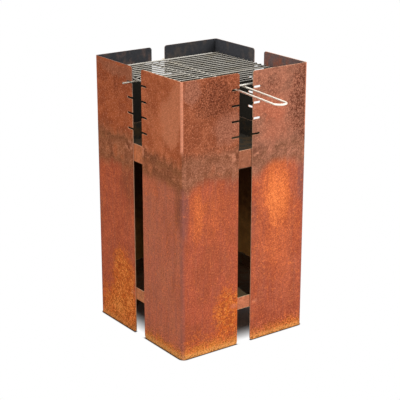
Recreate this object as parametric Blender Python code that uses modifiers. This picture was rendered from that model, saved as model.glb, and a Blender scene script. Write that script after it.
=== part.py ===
"""Square standing barbecue grill: four folded steel corner sheets, two trays and a wire grate.

The four sheets stand on the ground with an open upright gap in the middle of each side. Slots run
sideways from both edges of every gap, one above the other. The grate's wires come down the gaps and
are turned into the slots, which sets the height of the grate over the fire tray.

Metres, +Z up. The front, where the handle sticks out, faces -Y. The origin lies on the ground under
the centre of the whole object, handle and wire ends included.
"""

import math

import bmesh
import bpy
from mathutils import Vector

# Corner sheets
BODY_WIDTH = 0.400
BODY_HEIGHT = 0.740
GAP_WIDTH = 0.044
SHEET_THICKNESS = 0.003
BEND_RADIUS = 0.006
FREE_CORNER_RADIUS = 0.007

# Slots beside the gaps
SLOT_LEVELS = 4
TOP_SLOT_DEPTH = 0.042
SLOT_PITCH = 0.041
SLOT_LENGTH = 0.024
SLOT_PLAY = 0.001

# Trays
TRAY_THICKNESS = 0.003
TRAY_CORNER_RADIUS = 0.008
TRAY_FOLD_RADIUS = 0.005
FIRE_TRAY_HEIGHT = 0.486
FIRE_TRAY_WALL = 0.050
BASE_TRAY_HEIGHT = 0.095
BASE_TRAY_WALL = 0.036

# Wires of the grate
WIRE_DIAMETER = 0.005
ROD_DIAMETER = 0.0035
ROD_COUNT = 18
ROD_OVERHANG = 0.001
GRATE_CLEARANCE = 0.012
FRAME_CORNER_RADIUS = 0.020
LATCH_DEPTH = 0.008
HANDLE_PLAY = 0.002
HANDLE_REACH = 0.178
HANDLE_DROP = 0.003
HANDLE_DROP_START = 0.008
WIRE_END_REACH = 0.022
LEG_END_MARGIN = 0.004

# Gap left between pieces that touch
SEAT_GAP = 0.0003

# Facets
BEND_SEGMENTS = 6
CORNER_SEGMENTS = 6
SLOT_END_SEGMENTS = 8
TRAY_SEGMENTS = 5
WIRE_SIDES = 12
WIRE_BEVEL_RESOLUTION = 4
FRAME_CORNER_STEPS = 8
HANDLE_END_STEPS = 14

# Sizes that follow from the ones above
BODY_HALF = BODY_WIDTH / 2
GAP_HALF = GAP_WIDTH / 2
INNER_HALF = BODY_HALF - SHEET_THICKNESS
SHEET_MIDDLE = BODY_HALF - SHEET_THICKNESS / 2
WIRE_RADIUS = WIRE_DIAMETER / 2
ROD_RADIUS = ROD_DIAMETER / 2
SLOT_HEIGHT = WIRE_DIAMETER + SLOT_PLAY
TOP_SLOT_Z = BODY_HEIGHT - TOP_SLOT_DEPTH
TRAY_HALF = INNER_HALF - SEAT_GAP
FRAME_HALF = INNER_HALF - GRATE_CLEARANCE - WIRE_RADIUS
ROD_PITCH = 2 * FRAME_HALF / (ROD_COUNT + 1)
LEG_OFFSET = GAP_HALF - WIRE_RADIUS - HANDLE_PLAY
LATCH_OFFSET = GAP_HALF + LATCH_DEPTH

# Heights inside the grate, measured from the centre of the wires that lie in the slots
SUPPORT_Z = TOP_SLOT_Z - SLOT_HEIGHT / 2 + SEAT_GAP + WIRE_RADIUS
FRAME_LIFT = WIRE_DIAMETER + SEAT_GAP
ROD_LIFT = FRAME_LIFT + WIRE_RADIUS + SEAT_GAP + ROD_RADIUS

# The handle's legs run askew, so that they stand in the slots while the frame stands square
LEG_ANGLE = math.atan2(LATCH_OFFSET, SHEET_MIDDLE) - math.asin(
    LEG_OFFSET / math.hypot(LATCH_OFFSET, SHEET_MIDDLE)
)


def clear_scene():
    """Remove every object that the scene starts with."""
    for item in list(bpy.data.objects):
        bpy.data.objects.remove(item, do_unlink=True)


def new_collection(name):
    """Make a collection of this name in the scene."""
    group = bpy.data.collections.new(name)
    bpy.context.scene.collection.children.link(group)
    return group


def new_object(name, data, group, parent=None, location=(0.0, 0.0, 0.0)):
    """Make an object from mesh or curve data, in a collection and under a parent."""
    item = bpy.data.objects.new(name, data)
    group.objects.link(item)
    item.parent = parent
    item.location = location
    return item


def new_empty(name, group, parent, location):
    """Make an empty that carries other pieces."""
    holder = new_object(name, None, group, parent, location)
    holder.empty_display_size = 0.05
    return holder


def metal(name, colour, roughness, metallic):
    """Make a material with one Principled shader."""
    material = bpy.data.materials.new(name)
    material.use_nodes = True
    shader = material.node_tree.nodes["Principled BSDF"]
    shader.inputs["Base Color"].default_value = (*colour, 1.0)
    shader.inputs["Roughness"].default_value = roughness
    shader.inputs["Metallic"].default_value = metallic
    return material


def mesh_from(shape, name):
    """Turn a bmesh into a mesh and free it."""
    mesh = bpy.data.meshes.new(name)
    shape.to_mesh(mesh)
    shape.free()
    return mesh


def round_shading(mesh):
    """Shade round surfaces smooth and keep the corners sharp."""
    mesh.shade_smooth()
    mesh.set_sharp_from_angle(angle=math.radians(35))


def evaluated_mesh(item):
    """Give the object's mesh with its modifiers applied."""
    bpy.context.view_layer.update()
    graph = bpy.context.evaluated_depsgraph_get()
    return bpy.data.meshes.new_from_object(item.evaluated_get(graph), depsgraph=graph)


def arc(centre, radius, start, end, steps):
    """Points on an arc in plan, both ends included, with the angles in radians."""
    points = []
    for step in range(steps + 1):
        angle = start + (end - start) * step / steps
        points.append((centre[0] + radius * math.cos(angle), centre[1] + radius * math.sin(angle)))
    return points


def folded_strip():
    """Open surface on the outside of the front left corner sheet: two wings and the bend between."""
    bend_centre = -BODY_HALF + BEND_RADIUS
    outline = [(-GAP_HALF, -BODY_HALF)]
    outline += arc((bend_centre, bend_centre), BEND_RADIUS, -math.pi / 2, -math.pi, BEND_SEGMENTS)
    outline.append((-BODY_HALF, -GAP_HALF))
    shape = bmesh.new()
    foot = [shape.verts.new((x, y, 0.0)) for x, y in outline]
    edges = [shape.edges.new(pair) for pair in zip(foot, foot[1:])]
    grown = bmesh.ops.extrude_edge_only(shape, edges=edges)["geom"]
    top = [part for part in grown if isinstance(part, bmesh.types.BMVert)]
    bmesh.ops.translate(shape, verts=top, vec=(0.0, 0.0, BODY_HEIGHT))
    bmesh.ops.recalc_face_normals(shape, faces=shape.faces)
    if shape.faces[0].normal.y > 0:
        bmesh.ops.reverse_faces(shape, faces=shape.faces)
    return mesh_from(shape, "folded_strip")


def round_free_corners(mesh):
    """Round the four free corners of the sheet, seen square on to each wing."""
    shape = bmesh.new()
    shape.from_mesh(mesh)
    corners = []
    for edge in shape.edges:
        middle = (edge.verts[0].co + edge.verts[1].co) / 2
        at_end = middle.z < SEAT_GAP or middle.z > BODY_HEIGHT - SEAT_GAP
        at_gap = max(middle.x, middle.y) > -GAP_HALF - SEAT_GAP
        through_sheet = abs(edge.calc_length() - SHEET_THICKNESS) < SEAT_GAP
        if at_end and at_gap and through_sheet:
            corners.append(edge)
    bmesh.ops.bevel(
        shape,
        geom=corners,
        offset=FREE_CORNER_RADIUS,
        segments=CORNER_SEGMENTS,
        profile=0.5,
        affect="EDGES",
    )
    shape.to_mesh(mesh)
    shape.free()


def add_slot_cutter(shape, height, along_x):
    """Add one slot's cutter, a bar with a round end, to the front or the left wing."""
    past_edge = GAP_HALF / 2
    length = SLOT_LENGTH + past_edge
    across = SHEET_THICKNESS * 3
    middle = -GAP_HALF - SLOT_LENGTH + length / 2
    bar = bmesh.ops.create_cube(shape, size=1.0)["verts"]
    bmesh.ops.scale(shape, verts=bar, vec=(length, across, SLOT_HEIGHT))
    end_edges = set()
    for corner in bar:
        for edge in corner.link_edges:
            ends = [end.co for end in edge.verts]
            if all(end.x < 0 for end in ends) and abs(ends[0].y - ends[1].y) > SHEET_THICKNESS:
                end_edges.add(edge)
    rounded = bmesh.ops.bevel(
        shape,
        geom=list(end_edges),
        offset=SLOT_HEIGHT / 2 * 0.98,
        segments=SLOT_END_SEGMENTS // 2,
        profile=0.5,
        affect="EDGES",
    )
    bar = set(corner for corner in bar if corner.is_valid)
    bar.update(rounded["verts"])
    if along_x:
        bmesh.ops.translate(shape, verts=list(bar), vec=(middle, -SHEET_MIDDLE, height))
        return
    for corner in bar:
        corner.co = Vector((corner.co.y - SHEET_MIDDLE, corner.co.x + middle, corner.co.z + height))
    faces = set(face for corner in bar for face in corner.link_faces)
    bmesh.ops.reverse_faces(shape, faces=list(faces))


def slot_cutters():
    """Cutters of all slots of one corner sheet: one ladder on each wing."""
    shape = bmesh.new()
    for level in range(SLOT_LEVELS):
        height = TOP_SLOT_Z - level * SLOT_PITCH
        add_slot_cutter(shape, height, along_x=True)
        add_slot_cutter(shape, height, along_x=False)
    return mesh_from(shape, "slot_cutters")


def corner_sheet_mesh(cutter_group):
    """Folded sheet with rounded free corners and its two ladders of slots."""
    blank = new_object("corner_sheet_blank", folded_strip(), cutter_group)
    fold = blank.modifiers.new("sheet", "SOLIDIFY")
    fold.thickness = SHEET_THICKNESS
    fold.offset = -1.0
    fold.use_even_offset = True
    thick = evaluated_mesh(blank)
    round_free_corners(thick)
    blank.modifiers.clear()
    blank.data = thick
    cutter = new_object("slot_cutters", slot_cutters(), cutter_group)
    cutter.hide_render = True
    cutter.display_type = "WIRE"
    cut = blank.modifiers.new("slots", "BOOLEAN")
    cut.operation = "DIFFERENCE"
    cut.object = cutter
    sheet = evaluated_mesh(blank)
    bpy.data.objects.remove(blank, do_unlink=True)
    sheet.name = "corner_sheet"
    round_shading(sheet)
    return sheet


def add_corner_sheets(group, cutter_group, centre, material):
    """Four equal sheets, each a quarter turn from the last, round the body's centre."""
    sheet = corner_sheet_mesh(cutter_group)
    sheet.materials.clear()
    sheet.materials.append(material)
    names = ("front_left", "front_right", "back_right", "back_left")
    for turn, place in enumerate(names):
        item = new_object("corner_sheet_" + place, sheet, group, centre)
        item.rotation_euler.z = turn * math.pi / 2


def add_tray(name, group, centre, material, height, wall):
    """Square tray with a folded wall all round, its floor's underside at the given height."""
    shape = bmesh.new()
    bmesh.ops.create_cube(shape, size=1.0)
    bmesh.ops.scale(shape, verts=shape.verts, vec=(2 * TRAY_HALF, 2 * TRAY_HALF, wall))
    bmesh.ops.translate(shape, verts=shape.verts, vec=(0.0, 0.0, wall / 2))
    lid = [face for face in shape.faces if face.normal.z > 0.5]
    bmesh.ops.delete(shape, geom=lid, context="FACES_ONLY")
    upright = [edge for edge in shape.edges if abs(edge.verts[0].co.z - edge.verts[1].co.z) > wall / 2]
    bmesh.ops.bevel(
        shape, geom=upright, offset=TRAY_CORNER_RADIUS, segments=TRAY_SEGMENTS, profile=0.5, affect="EDGES"
    )
    fold = [edge for edge in shape.edges if all(end.co.z < SEAT_GAP for end in edge.verts)]
    bmesh.ops.bevel(
        shape, geom=fold, offset=TRAY_FOLD_RADIUS, segments=TRAY_SEGMENTS, profile=0.5, affect="EDGES"
    )
    mesh = mesh_from(shape, name)
    round_shading(mesh)
    tray = new_object(name, mesh, group, centre, (0.0, 0.0, height))
    tray.data.materials.append(material)
    sheet = tray.modifiers.new("sheet", "SOLIDIFY")
    sheet.thickness = TRAY_THICKNESS
    sheet.offset = -1.0
    sheet.use_even_offset = True
    return tray


def add_wire(name, group, parent, material, points, closed=False):
    """Round wire of the grate's wire size along a row of points."""
    curve = bpy.data.curves.new(name, "CURVE")
    curve.dimensions = "3D"
    curve.bevel_depth = WIRE_RADIUS
    curve.bevel_resolution = WIRE_BEVEL_RESOLUTION
    curve.use_fill_caps = not closed
    spline = curve.splines.new("POLY")
    spline.points.add(len(points) - 1)
    for place, point in zip(spline.points, points):
        place.co = (*point, 1.0)
    spline.use_cyclic_u = closed
    spline.use_smooth = True
    curve.materials.append(material)
    return new_object(name, curve, group, parent)


def askew(across, along):
    """Plan point at a distance across and along the handle's axis, which lies LEG_ANGLE off square."""
    x = across * math.cos(LEG_ANGLE) + along * math.sin(LEG_ANGLE)
    y = along * math.cos(LEG_ANGLE) - across * math.sin(LEG_ANGLE)
    return x, y


def along_at(y, across):
    """Distance along the handle's axis at which a line at this distance across reaches y."""
    return (y + across * math.sin(LEG_ANGLE)) / math.cos(LEG_ANGLE)


def handle_points():
    """Centre line of the lifting handle, from its short left leg's end to its long right leg's end.

    The left leg lies square under the frame and turns askew where it leaves it. The right leg runs
    askew all the way and passes the back sheets, where its end lies in a slot.
    """
    frame_y = FRAME_HALF
    leave = along_at(-frame_y, -LEG_OFFSET)
    left_x = askew(-LEG_OFFSET, leave)[0]
    drop_start = -(BODY_HALF + HANDLE_DROP_START)
    loop_middle = -(BODY_HALF + HANDLE_REACH - WIRE_RADIUS - LEG_OFFSET)
    back = along_at(BODY_HALF + WIRE_END_REACH, LEG_OFFSET)
    low = [askew(x, y) for x, y in arc((0.0, loop_middle), LEG_OFFSET, -math.pi, 0.0, HANDLE_END_STEPS)]
    points = [(left_x, frame_y + LEG_END_MARGIN, 0.0)]
    points.append((*askew(-LEG_OFFSET, leave), 0.0))
    points.append((*askew(-LEG_OFFSET, drop_start), 0.0))
    points += [(x, y, -HANDLE_DROP) for x, y in low]
    points.append((*askew(LEG_OFFSET, drop_start), 0.0))
    points.append((*askew(LEG_OFFSET, back), 0.0))
    return points


def frame_points():
    """Centre line of the square frame wire with its round corners."""
    corner = FRAME_HALF - FRAME_CORNER_RADIUS
    points = []
    for turn in range(4):
        start = turn * math.pi / 2
        sign_x = 1 if turn in (0, 3) else -1
        sign_y = 1 if turn in (0, 1) else -1
        centre = (corner * sign_x, corner * sign_y)
        points += arc(centre, FRAME_CORNER_RADIUS, start, start + math.pi / 2, FRAME_CORNER_STEPS)
    return [(x, y, FRAME_LIFT) for x, y in points]


def add_support_wires(group, parent, material):
    """Two straight wires, welded to the handle's legs, that reach into the side sheets' slots."""
    left_leg = handle_points()[0][0]
    right_leg = askew(LEG_OFFSET, along_at(-LATCH_OFFSET, LEG_OFFSET))[0]
    leg_side = WIRE_RADIUS / math.cos(LEG_ANGLE) + SEAT_GAP + WIRE_RADIUS * math.tan(LEG_ANGLE)
    reach = BODY_HALF + WIRE_END_REACH
    left = [(-reach, LATCH_OFFSET, 0.0), (left_leg - leg_side, LATCH_OFFSET, 0.0)]
    right = [(right_leg + leg_side, -LATCH_OFFSET, 0.0), (reach, -LATCH_OFFSET, 0.0)]
    add_wire("support_wire_left", group, parent, material, left)
    add_wire("support_wire_right", group, parent, material, right)


def add_rods(group, parent, material):
    """Cooking rods across the frame, from side to side, at an even pitch."""
    shape = bmesh.new()
    bmesh.ops.create_cone(
        shape,
        cap_ends=True,
        segments=WIRE_SIDES,
        radius1=ROD_RADIUS,
        radius2=ROD_RADIUS,
        depth=2 * (FRAME_HALF + ROD_OVERHANG),
    )
    rod = mesh_from(shape, "grate_rod")
    round_shading(rod)
    rod.materials.append(material)
    for index in range(ROD_COUNT):
        y = -FRAME_HALF + (index + 1) * ROD_PITCH
        name = "grate_rod_{:02d}".format(index + 1)
        item = new_object(name, rod, group, parent, (0.0, y, ROD_LIFT))
        item.rotation_euler.y = math.pi / 2


def add_grate(group, axis, material):
    """The whole grate: handle, support wires, frame and rods, turning together about the axis."""
    add_wire("lifting_handle", group, axis, material, handle_points())
    add_support_wires(group, axis, material)
    add_wire("grate_frame", group, axis, material, frame_points(), closed=True)
    add_rods(group, axis, material)


def body_centre_y():
    """Distance from the origin back to the body's centre, half of what the handle sticks out further."""
    front = min(point[1] for point in handle_points()) - WIRE_RADIUS
    back = BODY_HALF + WIRE_END_REACH
    return -(front + back) / 2


def build():
    """Model the grill."""
    clear_scene()
    group = new_collection("barbecue_grill")
    cutter_group = new_collection("cutters")
    centre = new_empty("body_centre", group, None, (0.0, body_centre_y(), 0.0))
    grate_axis = new_empty("grate_axis", group, centre, (0.0, 0.0, SUPPORT_Z))
    rust = metal("weathered_steel", (0.35, 0.125, 0.065), 0.85, 0.1)
    burnt = metal("fire_scaled_steel", (0.055, 0.035, 0.028), 0.9, 0.1)
    chrome = metal("chromed_wire", (0.75, 0.74, 0.71), 0.22, 1.0)
    add_corner_sheets(group, cutter_group, centre, rust)
    add_tray("fire_tray", group, centre, burnt, FIRE_TRAY_HEIGHT, FIRE_TRAY_WALL)
    add_tray("base_tray", group, centre, rust, BASE_TRAY_HEIGHT, BASE_TRAY_WALL)
    add_grate(group, grate_axis, chrome)


build()
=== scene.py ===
import math
import random

import bmesh
import bpy
from mathutils import Matrix, Vector


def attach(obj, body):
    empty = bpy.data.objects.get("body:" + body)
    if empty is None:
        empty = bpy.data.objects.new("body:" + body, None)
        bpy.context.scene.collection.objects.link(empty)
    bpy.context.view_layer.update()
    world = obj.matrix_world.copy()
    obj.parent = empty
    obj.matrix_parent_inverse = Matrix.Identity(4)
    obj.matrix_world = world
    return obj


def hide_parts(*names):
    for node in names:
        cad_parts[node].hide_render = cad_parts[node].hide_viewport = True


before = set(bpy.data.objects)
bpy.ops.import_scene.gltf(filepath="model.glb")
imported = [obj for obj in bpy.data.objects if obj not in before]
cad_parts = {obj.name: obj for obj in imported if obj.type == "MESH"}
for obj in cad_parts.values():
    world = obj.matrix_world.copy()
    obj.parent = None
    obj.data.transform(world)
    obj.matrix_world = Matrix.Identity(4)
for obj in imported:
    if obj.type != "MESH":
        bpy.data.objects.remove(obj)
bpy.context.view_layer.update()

# Looks of a square standing grill: four rusted corner sheets, two trays and a chromed wire grate.
# Metres, +Z up, the handle side faces -Y.

# Body, as in the solids
BODY_CENTRE_Y = 0.0776309
BODY_HALF = 0.200
SHEET_THICKNESS = 0.003
BEND_RADIUS = 0.006
GAP_HALF = 0.022
INNER_HALF = BODY_HALF - SHEET_THICKNESS
FIRE_TRAY_FLOOR = 0.486
FIRE_TRAY_WALL = 0.050
BASE_TRAY_FLOOR = 0.095
BASE_TRAY_WALL = 0.036
FIRE_TRAY_RIM = FIRE_TRAY_FLOOR + FIRE_TRAY_WALL
BASE_TRAY_RIM = BASE_TRAY_FLOOR + BASE_TRAY_WALL
TRAY_HALF = 0.1967

# Grate, as in the solids
SUPPORT_Z = 0.6978
FRAME_Z = 0.7031
ROD_Z = 0.70765
WIRE_RADIUS = 0.0025
ROD_RADIUS = 0.00175
ROD_COUNT = 18
FRAME_HALF = 0.1825
FRAME_CORNER = 0.020
ROD_HALF_LENGTH = 0.1818
LEG_OFFSET = 0.0175
LEG_ANGLE = math.radians(3.5934)
LOOP_MIDDLE = -0.35797
HANDLE_DROP = 0.003
DROP_START = -0.208
LEG_BACK_END = 0.222
SHORT_LEG_END = 0.1865
SUPPORT_Y = 0.030
SUPPORT_REACH = 0.222
SUPPORT_LEFT_END = -0.032
SUPPORT_RIGHT_START = 0.0186

# Detail that only the looks have: broken edges, curves and the wander of the rods
SHEET_EDGE = 0.0005
TRAY_EDGE = 0.0004
SHARP_ANGLE = math.radians(40)
JOIN_DISTANCE = 0.00001
HANDLE_CURVE = 0.016
HANDLE_LEAD = 0.02
HANDLE_LOOP_STEPS = 30
FRAME_CORNER_STEPS = 12
SUPPORT_STEPS = 8
ROD_STEPS = 12
ROD_SIDES = 14
ROD_SKEW = 0.0004
ROD_SAG = (0.0002, 0.0005)
ROD_SETTLE = 0.0003
ROD_SOOT_LINE = ROD_Z - 0.0002
CURVE_SHARE = 0.45
CURVE_STEPS = 7
WIRE_SIDES = 20
WIRE_SHARP_ANGLE = math.radians(50)
WIRE_END_SHARE = 0.45
WIRE_END_STEPS = 4

# Weld beads: half sizes, how lumpy and how far turned they are, and where they lie
BEAD_AROUND = 10
BEAD_RINGS = 6
BEAD_LUMP = 0.10
STITCH_BEAD = (0.0023, 0.0020, 0.0014)
STITCH_TURN = 0.4
STITCH_INSET = 0.0012
STITCH_WANDER = 0.0002
STITCH_LIFT = 0.0004
STITCH_BEADS = 7
STITCH_STEP = 0.0030
STITCH_PLACES = (-0.125, -0.060, 0.060, 0.125)
ROD_NUGGET = (0.0022, 0.0027, 0.0011)
LEG_NUGGET = (0.0034, 0.0034, 0.0020)
NUGGET_TURN = 0.3
NUGGET_INSET = 0.0010
NUGGET_DROP = 0.0022

# Seeds of the small wander of rods and beads
ROD_SEED = 21
NUGGET_SEED = 22
STITCH_SEED = 31
STITCH_LUMP_SEED = 32

# Patina: sizes of its blots and depth of its relief, first on the sheets
CLOUD_SIZE = 0.075
DRIFT_SIZE = 0.026
SMUDGE_SIZE = 0.026
SPOT_SIZE = 0.0105
STREAK_SIZE = 0.008
GRAIN_SIZE = 0.0046
GRIT_SIZE = 0.0024
INNER_SIZE = 0.034
TRAY_DRIFT_SIZE = 0.025
TRAY_SPOT_SIZE = 0.006
WIRE_CLOUD_SIZE = 0.045
WIRE_FLECK_SIZE = 0.0030
WELD_FLECK_SIZE = 0.0016
STEEL_RELIEF = 0.0006
WIRE_RELIEF = 0.0001

# Where the patina changes: the start and the end of each change, in metres
FACE_TURN = (-0.003, 0.003)
FOOT_RISE = (0.040, 0.008)
SILL_RISE = (0.019, 0.005)
NEAR_FOOT = (0.060, 0.010)
BAND_FOOT = (0.444, 0.482)
BEND_SCALE = (0.012, 0.002)
BEND_SCALE_TOP = (0.475, 0.445)
BEND_RUB_HIGHLIGHT = (0.0072, 0.0030)
BEND_RUB_HIGHLIGHT_FOOT = (0.540, 0.575)
ROUGH_BELOW_BAND = (0.50, 0.44)
ROUGH_AT_FOOT = (0.060, 0.015)
SOOT_LINE = (0.705, 0.690)
CHAMBER_FADE = (0.10, 0.36)
INNER_DEPTH = (0.0021, 0.0028)
EDGE_DULL = (0.62, 0.70)
TRAY_OUTSIDE = (TRAY_HALF - 0.0012, TRAY_HALF - 0.0006)
TRAY_RIM_SIDE = (TRAY_HALF - 0.0018, TRAY_HALF - 0.0010)

# Painted pool of light on the base tray's floor behind the front gap: its slant and the sides where
# it ends
LIGHT_POOL_SLANT = 0.2
LIGHT_POOL_RIGHT = (0.094, 0.089)
LIGHT_POOL_LEFT = (-0.060, -0.030)
LIGHT_POOL_BACK = (-0.040, -0.080)

# Lines with a low and a high side and soft edges, in metres
FOOT_SCORCH = (0.470, 0.482, 0.014)
CUT_DEPTH = (0.0004, 0.0024, 0.0003)

# Burn marks of the tray welds: from the gap, up, half width, half height and strength
WELD_BURNS = (
    (0.010, FIRE_TRAY_FLOOR + 0.040, 0.034, 0.020, 1.0),
    (0.012, BASE_TRAY_FLOOR + 0.018, 0.016, 0.010, 0.7),
)

# Studio
FLOOR_RADIUS = 40.0
# Painted contact shadow along the sheets' feet: its corner radius and its outer and inner fade
CONTACT_SHADOW_CORNER = 0.012
CONTACT_SHADOW_OUTER = (-0.0054, -0.0020)
CONTACT_SHADOW_INNER = (0.006, 0.004)
WHITE_EDGE = (-0.002, -0.006)
SHADE_INWARD = (0.050, 0.120)
SHADE_DEPTH = (0.0, 0.02)
BESIDE_GAP = (GAP_HALF - 0.001, GAP_HALF + 0.001)
# Painted light on the floor inside the front and the left gap: its width, slant and fade
DOORWAY = (GAP_HALF + 0.020, GAP_HALF - 0.006)
DOORWAY_SLANT = 1.5
DOORWAY_END = 0.087
DOORWAY_START = 0.012
WHITE = (1.0, 1.0, 1.0, 1.0)
WORLD_LIGHT = 0.50
LIGHT_AIM = (0.0, BODY_CENTRE_Y, 0.40)
SOFTBOXES = (
    ("key_softbox", (1.3, -2.6, 2.0), (1.6, 1.6), 60),
    ("side_softbox", (-3.0, -0.4, 1.6), (1.2, 1.6), 14),
    ("top_softbox", (0.2, 0.6, 3.2), (1.6, 1.6), 30),
)
CAMERA_PLACE = (-1.8696, -2.5231, 1.4122)
CAMERA_DIRECTION = (0.55389, 0.77060, -0.31525)
CAMERA_LENS = 111.36
CAMERA_FILM = 36.0


def tone(red, green, blue):
    """Colour written as on a paint chart, 0 to 255, as the shader needs it."""
    parts = []
    for part in (red, green, blue):
        share = part / 255
        parts.append(share / 12.92 if share <= 0.04045 else ((share + 0.055) / 1.055) ** 2.4)
    return (*parts, 1.0)


# Colours of the steel
RUST_RED = tone(182, 88, 56)
RUST_BROWN = tone(158, 84, 56)
TRAY_RUST = (tone(158, 94, 64), tone(204, 118, 72))
ASH_TRAY_RUST = (tone(206, 122, 84), tone(196, 120, 74))
DEEP_RED = tone(150, 62, 40)
MAUVE_SCALE = tone(150, 92, 82)
PURPLE_SCALE = tone(134, 80, 70)
SCORCHED_RUST = tone(126, 70, 46)
ORANGE_BLOOM = tone(214, 106, 54)
BRIGHT_BLOOM = tone(250, 140, 76)
FRESH_RUST = tone(204, 98, 30)
YELLOW_RUST = tone(238, 146, 66)
OCHRE_FOOT = tone(226, 136, 58)
PALE_OCHRE = tone(240, 168, 92)
FRESH_SHADE = tone(150, 62, 16)
DARK_FLECK = tone(96, 46, 28)
PALE_FLECK = tone(214, 142, 110)
ORANGE_FLECK = tone(228, 128, 80)
HEAT_OLIVE = tone(112, 66, 34)
# Pale cut steel, made brighter as a painted highlight on the lit edges
CUT_EDGE_HIGHLIGHT = tone(240, 184, 148)
DULL_EDGE = tone(132, 116, 106)
# Rubbed steel on the bend, made paler as a painted highlight
RUBBED_BEND_HIGHLIGHT = tone(240, 156, 122)
SOOT = tone(58, 54, 47)
SOOT_BLUE = tone(70, 71, 75)
SOOT_BROWN = tone(112, 94, 88)
TRAY_ASH = tone(86, 68, 46)
# Rust below the fire tray: the first made paler as painted light, the second darker as painted
# shade, also on the base tray's floor
CHAMBER_RUST_AND_LIGHT = tone(176, 126, 66)
DARK_RUST_AND_SHADE = tone(84, 50, 24)
ASH_OLIVE = tone(214, 190, 126)
# Painted light: pale pool on the base tray's floor behind the front gap
GAP_LIGHT_POOL = tone(240, 222, 172)

# Colours of the wires, the weld beads and the floor
CHROME_BRIGHT = tone(252, 245, 230)
CHROME_RIM = tone(200, 196, 186)
CHROME_DULL = tone(168, 160, 148)
CHROME_WORN = tone(158, 154, 146)
WIRE_TINT = tone(150, 138, 112)
WIRE_STAIN = tone(112, 100, 80)
WELD_BURNT = tone(74, 58, 48)
WELD_BARE = tone(150, 128, 108)
FLOOR_WHITE = tone(232, 232, 232)
FLOOR_SHADE = tone(70, 70, 74)
FLOOR_CONTACT_SHADOW = tone(40, 26, 20)


class Field:
    """A value or colour over a surface. Arithmetic on it adds Math nodes to its material."""

    def __init__(self, tree, socket):
        self.tree = tree
        self.socket = socket

    def node(self, kind, settings, inputs, output=0):
        """Add any node: its settings first, then its sockets' values or links."""
        made = self.tree.nodes.new(kind)
        for name, value in settings.items():
            setattr(made, name, value)
        for name, value in inputs.items():
            if isinstance(value, Field):
                self.tree.links.new(value.socket, made.inputs[name])
            else:
                made.inputs[name].default_value = value
        return Field(self.tree, made.outputs[output])

    def math(self, operation, *values):
        """Add a Math node."""
        return self.node("ShaderNodeMath", {"operation": operation}, dict(enumerate(values)))

    def __add__(self, other):
        return self.math("ADD", self, other)

    def __sub__(self, other):
        return self.math("SUBTRACT", self, other)

    def __rsub__(self, other):
        return self.math("SUBTRACT", other, self)

    def __mul__(self, other):
        return self.math("MULTIPLY", self, other)

    def __abs__(self):
        return self.math("ABSOLUTE", self)

    __radd__ = __add__
    __rmul__ = __mul__


def rise(value, start, end):
    """Smooth step from 0 at start to 1 at end."""
    inputs = {"Value": value, "From Min": start, "From Max": end}
    return value.node("ShaderNodeMapRange", {"interpolation_type": "SMOOTHSTEP"}, inputs)


def between(value, low, high, soft):
    """1 between two limits, with soft edges."""
    return rise(value, low - soft, low + soft) * rise(value, high + soft, high - soft)


def lower_of(first, second):
    """The lower of a field and a field or a number."""
    return first.math("MINIMUM", first, second)


def higher_of(first, second):
    """The higher of a field and a field or a number."""
    return first.math("MAXIMUM", first, second)


def root(value):
    """Square root of a field."""
    return value.math("SQRT", value)


def blend(mask, first, second):
    """Colour that goes from first to second with the mask."""
    return mask.node("ShaderNodeMix", {"data_type": "RGBA"}, {0: mask, 6: first, 7: second}, 2)


def shaded(colour, factor):
    """Colour made lighter or darker by a factor."""
    inputs = {"Vector": colour, "Scale": factor}
    return factor.node("ShaderNodeVectorMath", {"operation": "SCALE"}, inputs)


def stretched(place, x, y, z):
    """Place squeezed along its axes, so that noise on it is drawn out."""
    inputs = {0: place, 1: (x, y, z)}
    return place.node("ShaderNodeVectorMath", {"operation": "MULTIPLY"}, inputs)


def moved(place, x, y, z):
    """Place shifted, so that each piece has its own part of the noise."""
    inputs = {0: place, 1: (x, y, z)}
    return place.node("ShaderNodeVectorMath", {"operation": "ADD"}, inputs)


def mottle(place, size, detail=2.0, roughness=0.5):
    """Cloudy noise with blots of about this size, round one half."""
    inputs = {"Vector": place, "Scale": 1 / size, "Detail": detail, "Roughness": roughness}
    return place.node("ShaderNodeTexNoise", {}, inputs)


def bumped(height, strength, distance):
    """Surface normal with the relief of a height, for the Normal socket."""
    inputs = {"Height": height, "Strength": strength, "Distance": distance}
    return height.node("ShaderNodeBump", {}, inputs)


def new_material(name):
    """Material with one Principled shader; gives it, the shader and the place on the surface."""
    material = bpy.data.materials.new(name)
    material.use_nodes = True
    tree = material.node_tree
    shader = tree.nodes["Principled BSDF"]
    place = Field(tree, tree.nodes.new("ShaderNodeTexCoord").outputs["Object"])
    return material, shader, place


def feed(shader, **fields):
    """Link fields to a shader's sockets, or set them where they are plain values."""
    for name, value in fields.items():
        socket = shader.inputs[name.replace("_", " ")]
        if isinstance(value, Field):
            value.tree.links.new(value.socket, socket)
        else:
            socket.default_value = value


def axes(place):
    """The three coordinates of a place, the second one from the body's centre."""
    parts = [place.node("ShaderNodeSeparateXYZ", {}, {0: place}, index) for index in range(3)]
    return parts[0], parts[1] - BODY_CENTRE_Y, parts[2]


def inset(wide, deep, radius=BEND_RADIUS):
    """How far a point lies under the body's outer surface, up to its corners' radius."""
    past_x = higher_of(wide - (BODY_HALF - radius), 0.0)
    past_y = higher_of(deep - (BODY_HALF - radius), 0.0)
    return radius - root(past_x * past_x + past_y * past_y)


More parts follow.
